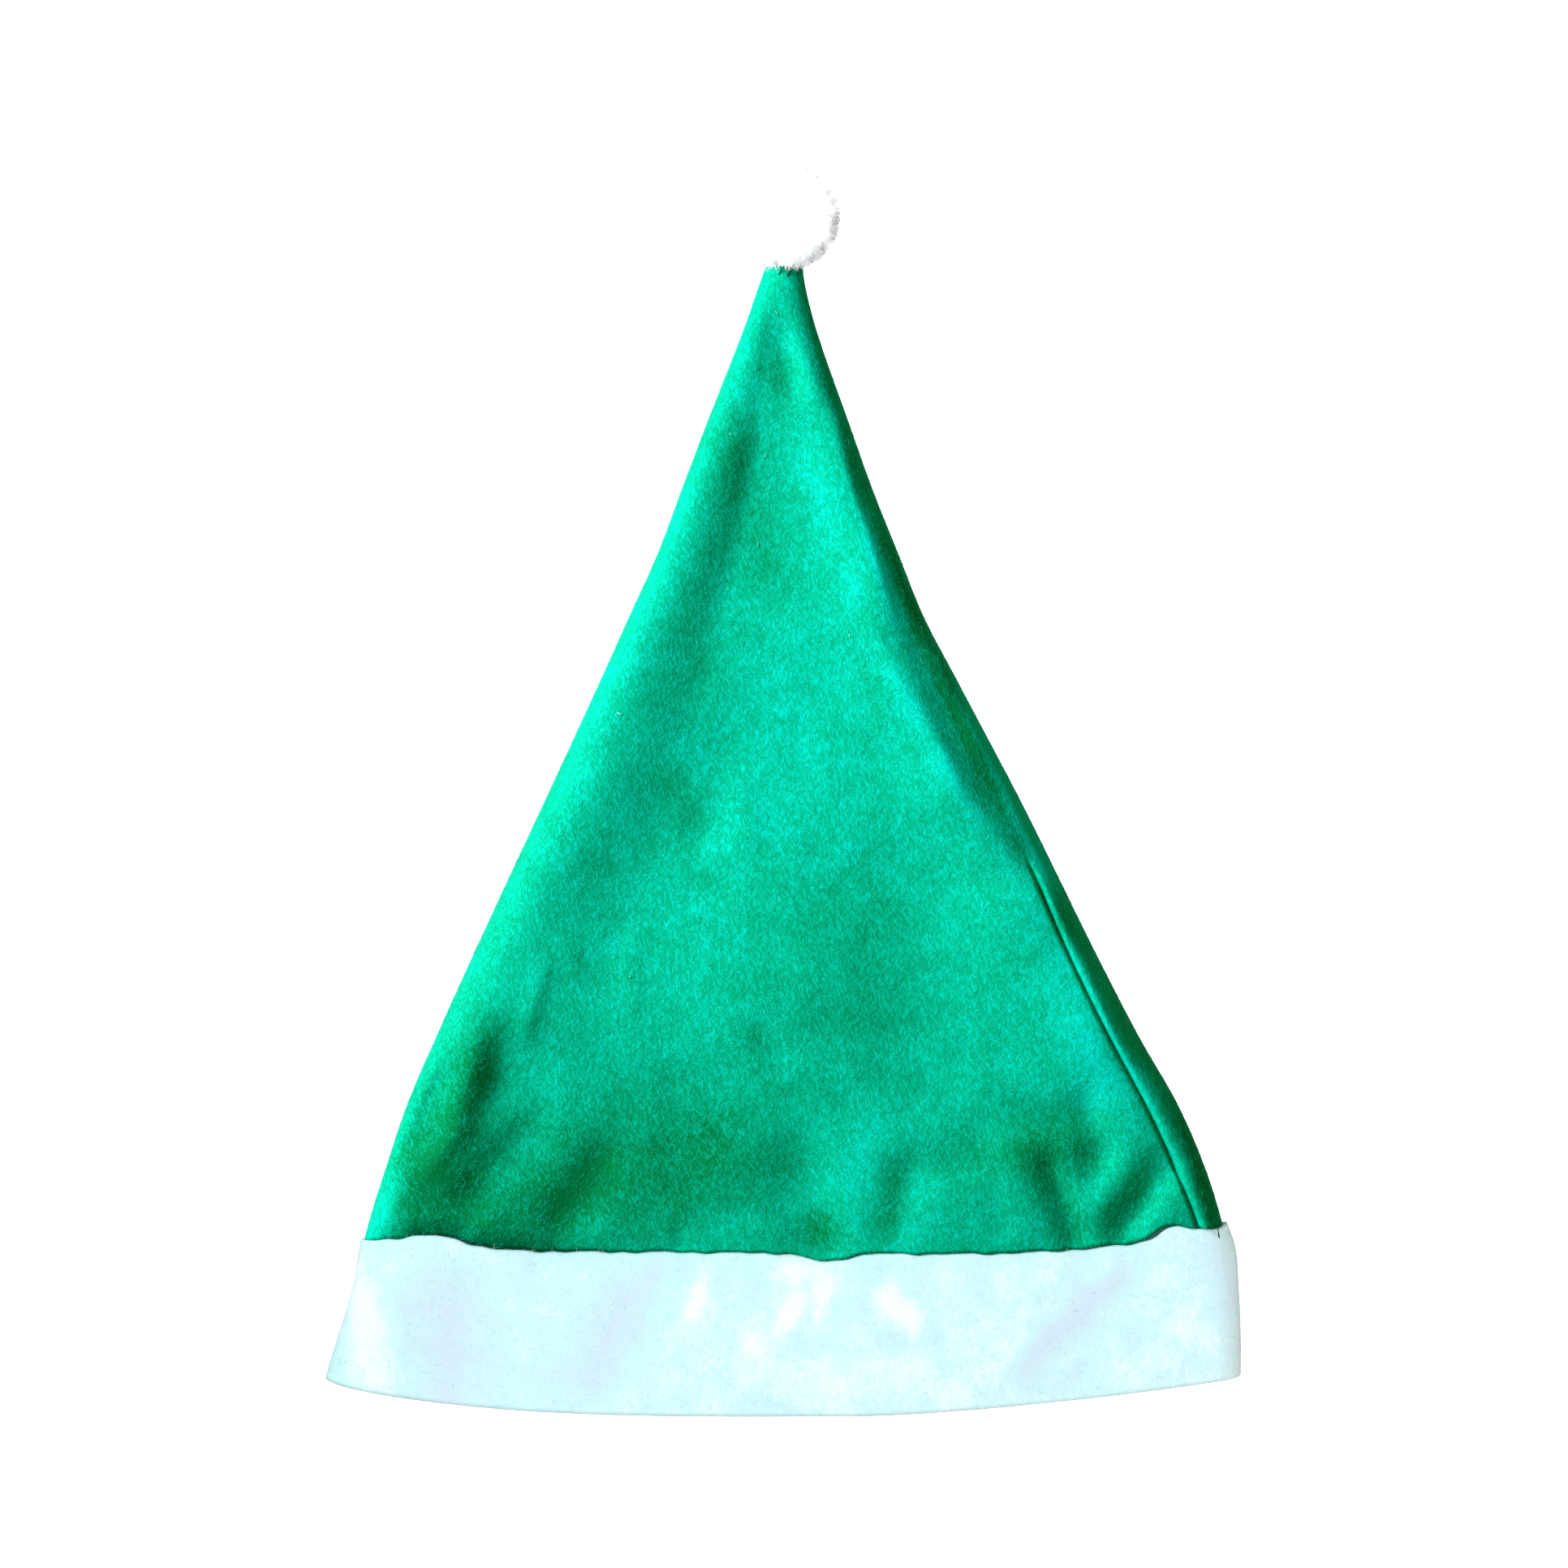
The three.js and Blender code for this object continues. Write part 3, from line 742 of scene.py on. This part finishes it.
def cut_and_sewn(name, points, patches, material, slot, wall):
    """A flat sheet of felt rolled round the hat, sewn at the side seam and given its thickness."""
    rows, columns = points.shape[:2]
    # The nap attribute holds the painted shade and painted highlights of the patches at each point.
    nap = fold_height(patches, points[..., 0] / MM, points[..., 1] / MM - HEM_Y)
    sheet = bmesh.new()
    painted_shading = sheet.verts.layers.float.new("nap")
    bmesh.ops.create_grid(sheet, x_segments=columns, y_segments=rows - 1, size=0.5)
    for vert in sheet.verts:
        column = round((vert.co.x + 0.5) * columns) % columns
        row = round((vert.co.y + 0.5) * (rows - 1))
        vert.co = points[row, column]
        vert[painted_shading] = nap[row, column]
    bmesh.ops.remove_doubles(sheet, verts=sheet.verts, dist=1e-7)
    bmesh.ops.recalc_face_normals(sheet, faces=sheet.faces)
    highest = max(sheet.faces, key=lambda face: face.calc_center_median().z)
    highest.normal_update()
    if highest.normal.z < 0:
        bmesh.ops.reverse_faces(sheet, faces=sheet.faces)
    mesh = bpy.data.meshes.new(name)
    sheet.to_mesh(mesh)
    sheet.free()
    piece = finished(name, mesh, material, slot)
    thick = piece.modifiers.new("Felt", "SOLIDIFY")
    thick.thickness = wall
    thick.offset = -1
    return piece


def strands(name, paths, radius, outward=None, sides=3):
    """A mesh of thin tubes, one along each path, tapering to half at the end, lit along outward."""
    count, length = paths.shape[:2]
    along = unit(np.gradient(paths, axis=1))
    helper = np.where(np.abs(along[..., 2:]) > 0.9, (1.0, 0, 0), (0, 0, 1.0))
    first = unit(np.cross(along, helper))
    second = np.cross(along, first)
    taper = radius * np.linspace(1, 0.5, length)[None, :, None]
    corners = []
    for side in range(sides):
        turn = 2 * math.pi * side / sides
        corners.append(paths + taper * (first * math.cos(turn) + second * math.sin(turn)))
    verts = np.stack(corners, axis=2).reshape(-1, 3)
    start = (np.arange(count)[:, None, None] * length + np.arange(length - 1)[None, :, None]) * sides
    side = np.arange(sides)[None, None, :]
    turned = (side + 1) % sides
    quads = np.stack((start + side, start + turned, start + sides + turned, start + sides + side), axis=3)
    walls = quads.reshape(-1, 4).tolist()
    ends = np.arange(count)[:, None] * length * sides
    foot = (ends + np.arange(sides)[::-1]).tolist()
    tip = (ends + (length - 1) * sides + np.arange(sides)).tolist()
    mesh = bpy.data.meshes.new(name)
    mesh.from_pydata(verts.tolist(), [], walls + foot + tip)
    if outward is not None:
        mesh.normals_split_custom_set_from_vertices(np.repeat(outward, length * sides, axis=0))
    return mesh


def off_floor(paths):
    """Paths kept clear of the floor."""
    paths[..., 2] = np.maximum(paths[..., 2], FLOOR_CLEAR)
    return paths


def fuzz_paths(points, count, length, seed):
    """Short bent fibres that lie on the upper side of a felt face."""
    chance = np.random.default_rng(seed)
    across = np.roll(points, -1, axis=1) - points
    along = points[1:] - points[:-1]
    normal = np.cross(along, across[:-1])
    size = np.linalg.norm(normal, axis=2)
    normal = unit(normal)
    highest = points[:-1, :, 2].argmax()
    normal *= np.sign(normal[..., 2].flat[highest])
    seen = size * (normal[..., 2] > FUZZ["steepest"])
    pick = chance.choice(seen.size, count, p=seen.ravel() / seen.sum())
    row, column = np.unravel_index(pick, seen.shape)
    up = normal[row, column]
    shift = chance.random((count, 2, 1))
    root = points[row, column] + across[row, column] * shift[:, 0] + along[row, column] * shift[:, 1]
    heading = unit(np.cross(up, chance.normal(size=(count, 3))))
    bend = np.cross(up, heading) * chance.normal(0, FUZZ["bend"], (count, 1))
    reach = length * chance.uniform(FUZZ["shortest"], 1, (count, 1))
    rise = FUZZ["lift"] * chance.uniform(FUZZ["lowest"], 1, (count, 1))
    paths = []
    for t in (0, 0.35, 0.7, 1):
        above = rise * math.sin(math.pi * t * FUZZ["arch"]) - FUZZ["sunk"]
        paths.append(root + reach * (t * heading + t * t * bend) + up * above)
    return off_floor(np.stack(paths, axis=1))


def lock_axes():
    """Directions of the pompom's locks from its middle, spread evenly over the ball."""
    index = np.arange(LOCKS["count"])
    height = 1 - (2 * index + 1) / LOCKS["count"]
    turn = index * math.pi * (3 - math.sqrt(5))
    ring = np.sqrt(1 - height**2)
    x, z = ring * np.sin(turn), ring * np.cos(turn)
    return unit(np.stack((x - LOCKS["lean"] * z, height, z + LOCKS["lean"] * x), axis=1))


def nearest_lock(out):
    """The axis of the lock nearest to each direction, and 1 on that axis, falling to 0 away from it."""
    axes = lock_axes()
    closeness = out @ axes.T
    angle = np.arccos(np.clip(closeness.max(axis=1), -1, 1))
    return axes[closeness.argmax(axis=1)], bell(angle, LOCKS["spread"])


def pompom_head(centre, radius):
    """The ball under the pile, swollen under each lock."""
    head = bmesh.new()
    bmesh.ops.create_icosphere(head, subdivisions=6, radius=1)
    out = unit(np.array([vert.co for vert in head.verts]))
    places = centre + out * radius * (LOCKS["head"] + LOCKS["swell"] * nearest_lock(out)[1])[:, None]
    for vert, place in zip(head.verts, off_floor(places)):
        vert.co = place
    mesh = bpy.data.meshes.new("pompom")
    head.to_mesh(mesh)
    head.free()
    return mesh


def pile_paths(centre, radius, count, seed):
    """Strands that stand out from the pompom's head and lean together in locks, and their directions."""
    chance = np.random.default_rng(seed)
    out = unit(chance.normal(size=(count, 3)))
    axis, nearness = nearest_lock(out)
    lean = PILE["pull"] * (axis - out) + chance.normal(0, PILE["stray"], (count, 3))
    reach = PILE["short"] + (PILE["long"] - PILE["short"]) * nearness
    reach = reach + chance.normal(0, PILE["uneven"], count)
    length = (reach - PILE["foot"])[:, None]
    paths = [unit(out + t * lean) * radius * (PILE["foot"] + t * length) for t in (0, 0.55, 1)]
    return off_floor(centre + np.stack(paths, axis=1)), out


def on_crown(x, y, above):
    """Places over the crown's upper face, in metres, from millimetres of the tables."""
    return np.stack((x, y + HEM_Y, crown_top(x, y) + above), axis=-1) * MM


def thread_paths(rows):
    """Short threads that lie on the crown, with their middles a little off it."""
    thread = {name: column[:, None] for name, column in table(THREAD_COLUMNS, rows).items()}
    reach = np.array((-0.5, 0, 0.5)) * thread["length"]
    turn = np.radians(thread["heading"])
    above = np.array((0, THREAD_ARCH, 0)) + thread["above"]
    return on_crown(thread["x"] + reach * np.cos(turn), thread["y"] + reach * np.sin(turn), above)


def wisp_paths(seed):
    """Strands of the pompom's pile that lie over the tip of the crown."""
    chance = np.random.default_rng(seed)
    size = (WISPS["count"], 1)
    t = np.array((0, 0.35, 0.7, 1))
    length = chance.uniform(WISPS["shortest"], WISPS["longest"], size)
    turn = np.radians(chance.normal(0, WISPS["lean"], size))
    x = chance.uniform(-WISPS["half_width"], WISPS["half_width"], size) + length * t * np.sin(turn)
    y = WISPS["from_y"] - length * t * np.cos(turn)
    above = WISPS["root_above"] * (1 - t) + WISPS["above"]
    return on_crown(x, y, above + np.zeros_like(x))


def add_floor(scene):
    """A pale floor just under the hat."""
    ground = bmesh.new()
    bmesh.ops.create_grid(ground, x_segments=1, y_segments=1, size=FLOOR["half_side"])
    bmesh.ops.translate(ground, verts=ground.verts, vec=(0, 0, -FLOOR["below"]))
    mesh = bpy.data.meshes.new("floor")
    ground.to_mesh(mesh)
    ground.free()
    material, tree, shader = new_material("Pale floor")
    place = tree.node("ShaderNodeTexCoord", None, None, "Object")
    change = tree.node("ShaderNodeTexNoise", None, {"Vector": place, "Scale": FLOOR["patch_scale"]})
    pale = scene.hat_colours.floor
    shaded = (FLOOR["shade"] * part for part in pale)
    change.mix((*shaded, 1), (*pale, 1)).into(shader.inputs["Base Color"])
    set_constants(shader, {"Roughness": FLOOR["roughness"]})
    mesh.materials.append(material)
    floor = bpy.data.objects.new("floor", mesh)
    floor.visible_diffuse = False
    scene.collection.objects.link(floor)
    lit_group("Floor").objects.link(floor)


def add_backdrop(scene):
    """The light from all round, with a backdrop where the floor ends."""
    world = bpy.data.worlds.new("Studio")
    world.use_nodes = True
    seen = Wire(world.node_tree).node("ShaderNodeLightPath", None, None, "Is Camera Ray")
    seen.mix(AMBIENT, BACKDROP).into(world.node_tree.nodes["Background"].inputs["Color"])
    scene.world = world


def add_lights(scene):
    """The lights, each on its own group and turned to the hat."""
    for name, place, power, colour, side, lit in LIGHTS:
        light = bpy.data.lights.new(name, "AREA")
        light.energy = power
        light.color = colour
        light.size = side
        lamp = bpy.data.objects.new(name, light)
        lamp.location = place
        lamp.rotation_euler = (-lamp.location).to_track_quat("-Z", "Y").to_euler()
        scene.collection.objects.link(lamp)
        lamp.light_linking.receiver_collection = lit_group(lit)


def add_camera(scene):
    """The camera straight over the hat."""
    camera = bpy.data.objects.new("Camera", bpy.data.cameras.new("Camera"))
    camera.data.sensor_width = CAMERA["sensor"]
    camera.data.lens = CAMERA["lens"]
    camera.location = CAMERA["place"]
    scene.collection.objects.link(camera)
    scene.camera = camera


class HatSizes(bpy.types.PropertyGroup):
    """Sizes of the hat that a user would change."""

    crown_wall: FloatProperty(
        name="Crown felt", description="Thickness of the crown's felt", default=0.0015, unit="LENGTH"
    )
    band_wall: FloatProperty(
        name="Band felt", description="Thickness of the band's felt", default=0.002, unit="LENGTH"
    )
    pile_count: IntProperty(
        name="Pile", description="How many strands the pompom's pile has", default=14000, min=100
    )
    fuzz_count: IntProperty(
        name="Fuzz", description="How many loose fibres lie on the crown", default=9000, min=100
    )


class HatColours(bpy.types.PropertyGroup):
    """Colours of the hat that a user would change."""

    crown: FloatVectorProperty(
        name="Crown", description="The crown's felt", default=(0.0, 0.4, 0.22), subtype="COLOR"
    )
    # crown_light is also the colour of the painted highlights, and crown_deep that of the painted shade.
    crown_light: FloatVectorProperty(
        name="Crown fibres", description="Fibres that catch the light", default=(0.0, 0.64, 0.52),
        subtype="COLOR",
    )
    crown_deep: FloatVectorProperty(
        name="Crown depth", description="Between the crown's fibres", default=(0.0, 0.18, 0.045),
        subtype="COLOR",
    )
    band: FloatVectorProperty(
        name="Band", description="The band's felt", default=(0.55, 0.85, 0.88), subtype="COLOR"
    )
    # band_light is also the colour of the painted highlights, and band_deep, a lavender, that of the painted
    # shade of the band's folds.
    band_light: FloatVectorProperty(
        name="Band fibres", description="Fibres that catch the light", default=(0.82, 0.95, 0.96),
        subtype="COLOR",
    )
    band_deep: FloatVectorProperty(
        name="Band depth", description="Where the band's nap is pressed", default=(0.57, 0.755, 0.85),
        subtype="COLOR",
    )
    pile: FloatVectorProperty(
        name="Pompom", description="The pompom's pile", default=(0.99, 0.99, 0.98), subtype="COLOR"
    )
    floor: FloatVectorProperty(
        name="Floor", description="The floor under the hat", default=(0.5, 0.5, 0.5), subtype="COLOR"
    )


class HAT_OT_crown(bpy.types.Operator):
    """Make the felt crown"""

    bl_idname = "santa_hat.crown"
    bl_label = "Crown"

    def execute(self, context):
        sizes, colours = context.scene.hat_sizes, context.scene.hat_colours
        points = crown_points()
        felt = felt_material(
            "Green felt", GREEN_FELT, colours.crown, colours.crown_light, colours.crown_deep
        )
        crown = cut_and_sewn("crown", points, CROWN_PAINTED_SHADING, felt, "green_felt", sizes.crown_wall)
        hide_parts("crown")
        loose = fibre_material("Loose green fibre", colours.crown, colours.crown_light)
        paths = fuzz_paths(points, sizes.fuzz_count, FUZZ["crown"], SEEDS["crown_fuzz"])
        fuzz = finished("crown_fuzz", strands("crown_fuzz", paths, FUZZ["radius"]), loose, "green_felt")
        return {"FINISHED"}


class HAT_OT_band(bpy.types.Operator):
    """Make the felt band"""

    bl_idname = "santa_hat.band"
    bl_label = "Band"

    def execute(self, context):
        sizes, colours = context.scene.hat_sizes, context.scene.hat_colours
        points = band_points()
        felt = felt_material("White felt", WHITE_FELT, colours.band, colours.band_light, colours.band_deep)
        band = cut_and_sewn("band", points, BAND_PAINTED_SHADING, felt, "white_felt", sizes.band_wall)
        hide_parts("band")
        loose = fibre_material("Loose white fibre", colours.band, colours.band_light)
        count = sizes.fuzz_count // FUZZ["crown_to_band"]
        paths = fuzz_paths(points, count, FUZZ["band"], SEEDS["band_fuzz"])
        fuzz = finished("band_fuzz", strands("band_fuzz", paths, FUZZ["radius"]), loose, "white_felt")
        return {"FINISHED"}


class HAT_OT_pompom(bpy.types.Operator):
    """Make the pompom, its pile and its wisps"""

    bl_idname = "santa_hat.pompom"
    bl_label = "Pompom"

    def execute(self, context):
        sizes, colours = context.scene.hat_sizes, context.scene.hat_colours
        centre = np.array((POMPOM_LOW + POMPOM_HIGH) / 2)
        radius = (POMPOM_HIGH.x - POMPOM_LOW.x) / 2
        pale = tuple(PILE_SHADE * part for part in colours.pile)
        pile = fibre_material("White pile", pale, colours.pile, 1)
        pompom = finished("pompom", pompom_head(centre, radius), pile, "white_pile")
        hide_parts("pompom")
        paths, out = pile_paths(centre, radius, sizes.pile_count, SEEDS["pile"])
        finished("pompom_pile", strands("pompom_pile", paths, PILE_RADIUS, out), pile, "white_pile")
        wisps = strands("wisps", wisp_paths(SEEDS["wisps"]), THREAD_RADIUS["wisp"])
        finished("wisps", wisps, pile, "white_pile")
        return {"FINISHED"}


class HAT_OT_threads(bpy.types.Operator):
    """Make the lint on the crown and the stitches that show"""

    bl_idname = "santa_hat.threads"
    bl_label = "Threads"

    def execute(self, context):
        lint = strands("lint", thread_paths(LINT), THREAD_RADIUS["lint"], sides=THREAD_SIDES["lint"])
        finished("lint", lint, fibre_material("Lint", *LINT_COLOURS), "green_felt")
        stitched = thread_paths(STITCHES)
        stitches = strands("stitches", stitched, THREAD_RADIUS["stitch"], sides=THREAD_SIDES["stitch"])
        finished("stitches", stitches, fibre_material("Dark thread", *THREAD_COLOURS), "green_felt")
        return {"FINISHED"}


class HAT_OT_stage(bpy.types.Operator):
    """Make the floor, the lights and the camera"""

    bl_idname = "santa_hat.stage"
    bl_label = "Stage"

    def execute(self, context):
        scene = context.scene
        add_floor(scene)
        add_backdrop(scene)
        add_lights(scene)
        add_camera(scene)
        scene.view_settings.view_transform = "Standard"
        return {"FINISHED"}


class HAT_PT_panel(bpy.types.Panel):
    """The hat's pieces, sizes and colours"""

    bl_label = "Santa Hat"
    bl_idname = "HAT_PT_panel"
    bl_space_type = "VIEW_3D"
    bl_region_type = "UI"
    bl_category = "Santa Hat"

    def draw(self, context):
        for operator in OPERATORS:
            self.layout.operator(operator.bl_idname)
        for group in (context.scene.hat_sizes, context.scene.hat_colours):
            for name in group.__annotations__:
                self.layout.prop(group, name)


OPERATORS = (HAT_OT_stage, HAT_OT_crown, HAT_OT_band, HAT_OT_pompom, HAT_OT_threads)
CLASSES = (HatSizes, HatColours, *OPERATORS, HAT_PT_panel)


def register():
    """Add the classes and the scene's settings."""
    for made in CLASSES:
        bpy.utils.register_class(made)
    bpy.types.Scene.hat_sizes = PointerProperty(type=HatSizes)
    bpy.types.Scene.hat_colours = PointerProperty(type=HatColours)


def unregister():
    """Take the classes and the settings away."""
    del bpy.types.Scene.hat_sizes
    del bpy.types.Scene.hat_colours
    for made in reversed(CLASSES):
        bpy.utils.unregister_class(made)


def main():
    """Make the hat on its stage."""
    register()
    bpy.ops.santa_hat.stage()
    bpy.ops.santa_hat.crown()
    bpy.ops.santa_hat.band()
    bpy.ops.santa_hat.pompom()
    bpy.ops.santa_hat.threads()


if __name__ == "__main__":
    main()
